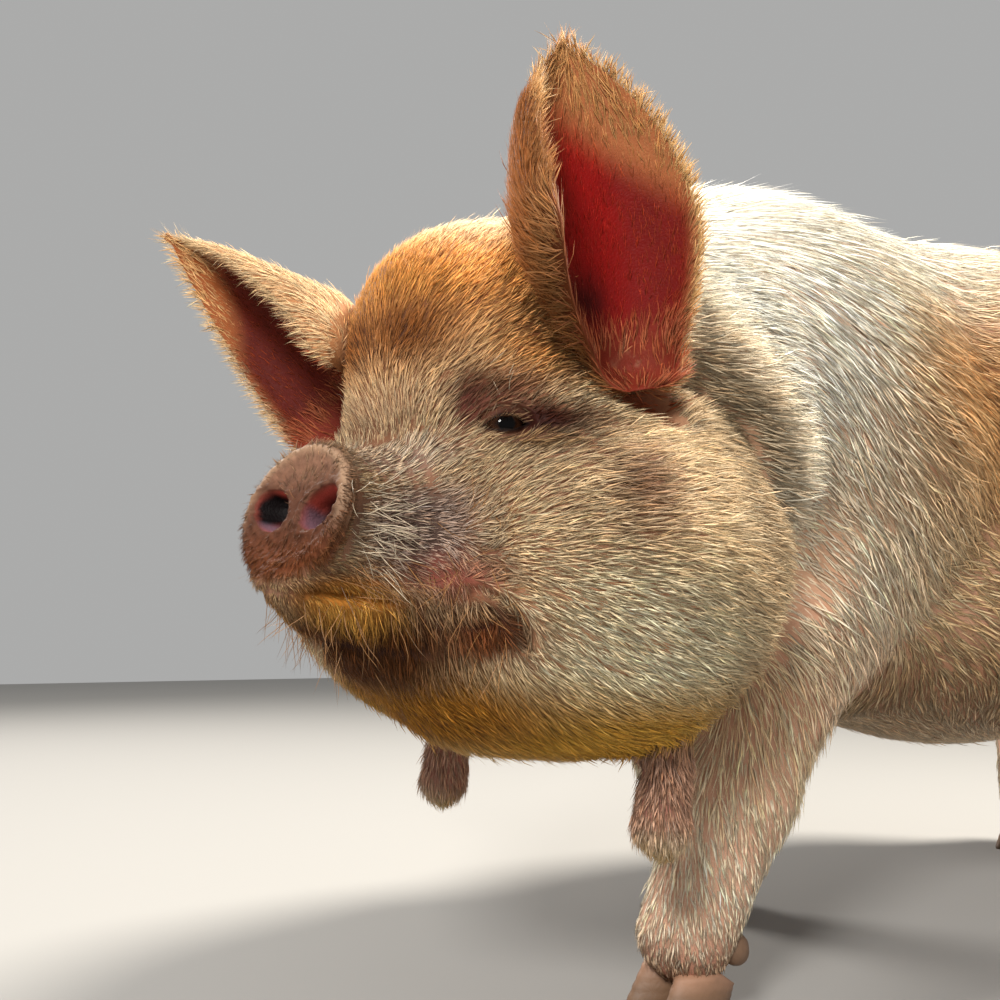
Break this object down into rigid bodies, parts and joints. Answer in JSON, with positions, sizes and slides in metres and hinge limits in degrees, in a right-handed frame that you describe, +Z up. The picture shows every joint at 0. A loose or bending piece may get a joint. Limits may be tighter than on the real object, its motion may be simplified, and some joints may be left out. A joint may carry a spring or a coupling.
{
  "type": "kunekune pig",
  "caption": "Life-size still model of a standing kunekune pig with pricked ears, upturned snout and throat wattles, its head turned to its left.",
  "frame": {"origin": "centre of the bounding box in plan, at the level of the soles", "axes": "the pig faces -Y, its left side is +X and +Z is up"},
  "size_m": [0.5546, 1.3066, 0.6711],
  "materials": {
    "coat": "soft cream and ginger hair",
    "leg": "thin pale hair over pink skin",
    "jaw": "coarse ginger-brown bristles",
    "snout": "bare brownish-pink skin",
    "ear": "thin skin with a hair fringe, red inside",
    "wattle": "pink skin with fine pale hair",
    "hoof": "dull horn",
    "eye": "wet dark brown"
  },
  "bodies": {
    "root": {"ear_left": "ear", "ear_right": "ear", "eye_left": "eye", "eye_right": "eye", "head": "coat", "hoof_fore_left_inner": "hoof", "hoof_fore_left_outer": "hoof", "hoof_fore_right_inner": "hoof", "hoof_fore_right_outer": "hoof", "hoof_hind_left_inner": "hoof", "hoof_hind_left_outer": "hoof", "hoof_hind_right_inner": "hoof", "hoof_hind_right_outer": "hoof", "jaw": "jaw", "leg_fore_left": "leg", "leg_fore_right": "leg", "leg_hind_left": "leg", "leg_hind_right": "leg", "neck": "coat", "snout": "snout", "tail": "coat", "trunk": "coat", "wattle_left": "wattle", "wattle_right": "wattle"}
  },
  "joints": []
}
